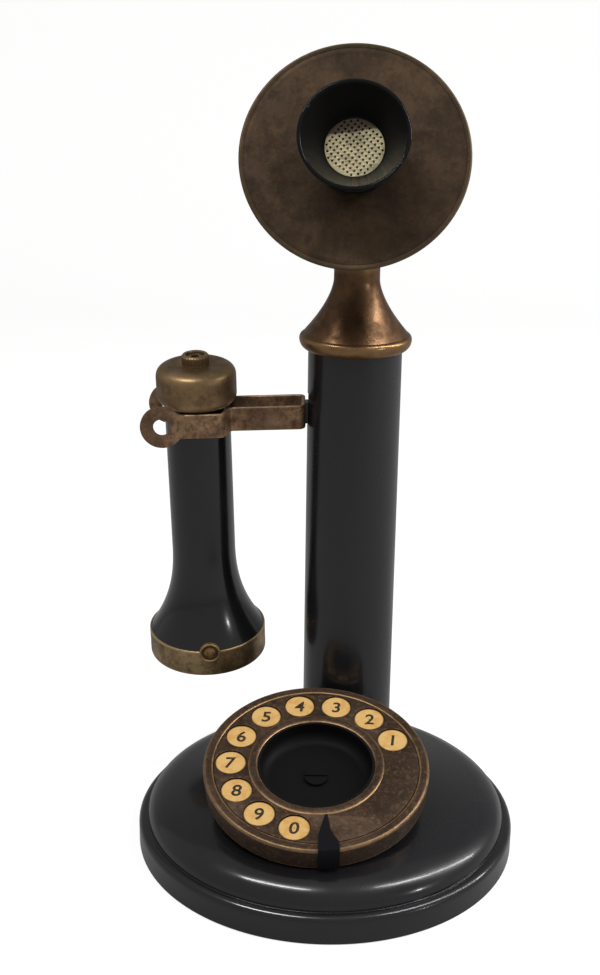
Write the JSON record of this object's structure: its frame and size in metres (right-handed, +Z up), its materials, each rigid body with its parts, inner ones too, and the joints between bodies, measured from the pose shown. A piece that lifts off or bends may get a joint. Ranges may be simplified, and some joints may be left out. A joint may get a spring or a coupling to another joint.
{
  "type": "candlestick telephone",
  "caption": "Upright candlestick telephone with a rotary dial on its round base, a tilting transmitter head and a receiver hung on a sprung fork hook.",
  "frame": {"origin": "centre of the rest face, the underside of the felt pad, on the table", "axes": "+Z up along the stem; -Y towards the user, where the mouthpiece and the dial face; the receiver hangs on the -X side"},
  "size_m": [0.1428, 0.1433, 0.2893],
  "materials": {
    "black_enamel": "gloss",
    "plain_steel": "satin",
    "felt": "matt",
    "iron": "rough",
    "screw_steel": "satin",
    "rubber": "matt",
    "ebonite": "gloss",
    "mechanism_brass": "satin",
    "spring_metal": "satin",
    "steel_parts": "satin",
    "dial_bronze": "patinated",
    "dial_black": "gloss",
    "number_ivory": "satin",
    "hook_bronze": "patinated",
    "neck_copper": "worn",
    "faceplate_bronze": "patinated",
    "grille_cream": "satin",
    "cap_brass": "patinated",
    "ring_brass": "worn",
    "magnet_steel": "satin",
    "coil_copper": "satin"
  },
  "bodies": {
    "stand": {"base_dome": "black_enamel", "base_plate": "plain_steel", "felt_pad": "felt", "ballast_ring": "iron", "base_screws": "screw_steel", "cord_bush": "rubber", "terminal_block": "ebonite", "terminal_screws": "mechanism_brass", "stem_socket": "mechanism_brass", "stem_tube": "black_enamel", "dial_pedestal": "black_enamel", "dial_case": "dial_bronze", "number_plate": "dial_bronze", "number_discs": "number_ivory", "finger_stop": "dial_black", "mechanism_frame": "mechanism_brass", "back_plate": "mechanism_brass", "mainspring": "steel_parts", "governor_drum": "steel_parts", "impulse_springs": "spring_metal", "impulse_block": "ebonite", "dial_screws": "screw_steel", "hook_pin": "steel_parts", "hook_bracket": "mechanism_brass", "bracket_screws": "screw_steel", "contact_springs": "spring_metal", "spring_insulators": "ebonite", "hook_spring": "steel_parts", "neck_collar": "neck_copper", "head_screw": "neck_copper", "head_nut": "neck_copper"},
    "dial": {"finger_wheel": "dial_bronze", "wheel_dish": "dial_black", "hub_screw": "screw_steel", "dial_shaft": "steel_parts", "main_gear": "mechanism_brass"},
    "pinion": {"pinion_arbor": "steel_parts", "impulse_cam": "mechanism_brass"},
    "governor": {"governor_arbor": "steel_parts", "governor_weights": "mechanism_brass"},
    "hook": {"hook_fork": "hook_bronze", "hook_lever": "dial_black"},
    "head": {"transmitter_cup": "neck_copper", "faceplate": "faceplate_bronze", "mouthpiece": "ebonite", "mouthpiece_grille": "grille_cream", "transmitter_diaphragm": "steel_parts", "carbon_button": "mechanism_brass", "transmitter_bridge": "steel_parts", "faceplate_screws": "screw_steel"},
    "receiver": {"receiver_barrel": "ebonite", "receiver_cap": "cap_brass", "receiver_knob": "cap_brass", "ear_ring": "ring_brass", "ear_cap": "ebonite", "receiver_diaphragm": "steel_parts", "receiver_magnet": "magnet_steel", "receiver_coils": "coil_copper", "ring_lug": "ring_brass"}
  },
  "joints": [
    {"name": "dial_turn", "type": "hinge", "parent": "stand", "child": "dial", "pos_m": [-0.0035, -0.0195, 0.0404], "axis": [0, -0.2656, 0.9641], "range_deg": [-325, 0], "stiffness_Nm_per_rad": 0.01, "springref_deg": 57.3},
    {"name": "pinion_spin", "type": "hinge", "parent": "stand", "child": "pinion", "pos_m": [-0.02055, -0.02056, 0.02247], "axis": [0, -0.2656, 0.9641], "range_deg": [0, 1300]},
    {"name": "governor_spin", "type": "hinge", "parent": "stand", "child": "governor", "pos_m": [-0.01635, -0.02713, 0.02066], "axis": [0, -0.2656, 0.9641], "range_deg": [-3900, 0]},
    {"name": "hook_switch", "type": "hinge", "parent": "stand", "child": "hook", "pos_m": [0.00775, 0.03925, 0.15735], "axis": [0, 1, 0], "range_deg": [0, 6], "stiffness_Nm_per_rad": 0.15, "springref_deg": 11.46},
    {"name": "receiver_lift", "type": "slide", "parent": "hook", "child": "receiver", "axis": [-0.8689, -0.0509, 0.4924], "range_m": [0, 0.06]},
    {"name": "head_tilt", "type": "hinge", "parent": "stand", "child": "head", "pos_m": [0.00775, 0.03925, 0.2195], "axis": [0.9995, -0.0332, 0], "range_deg": [-10, 20]}
  ],
  "couplings": [
    {"joint": "pinion_spin", "follows": "dial_turn", "ratio": -4},
    {"joint": "governor_spin", "follows": "dial_turn", "ratio": 12}
  ]
}
